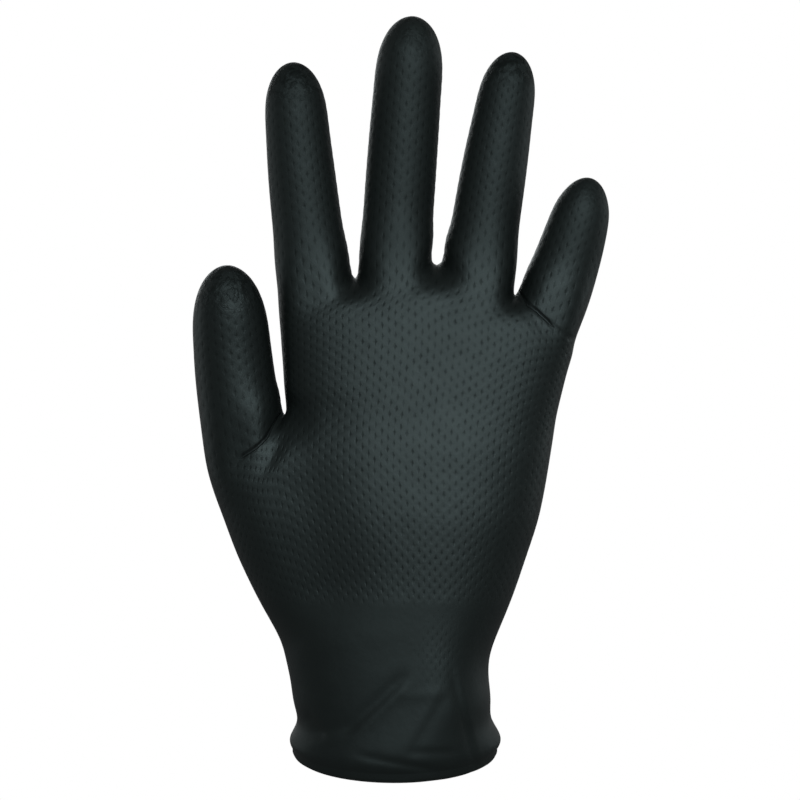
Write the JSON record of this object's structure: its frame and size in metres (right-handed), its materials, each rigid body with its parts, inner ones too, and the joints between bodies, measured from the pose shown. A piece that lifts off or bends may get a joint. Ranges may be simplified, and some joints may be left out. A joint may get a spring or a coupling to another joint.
{
  "type": "nitrile exam glove",
  "caption": "Black disposable nitrile exam glove with a raised diamond grip and a beaded cuff, held in the filled form of a worn left hand, hollow and open at the cuff.",
  "frame": {"origin": "centre of the cuff's opening, where the hand goes in", "axes": "+Z from the cuff to the fingertips, -Y the palm's side, -X the thumb's side"},
  "size_m": [0.1329, 0.047, 0.2428],
  "materials": {
    "nitrile": "satin black film with a raised diamond texture, smooth at the cuff"
  },
  "bodies": {
    "root": {"glove_film": "nitrile"}
  },
  "joints": []
}
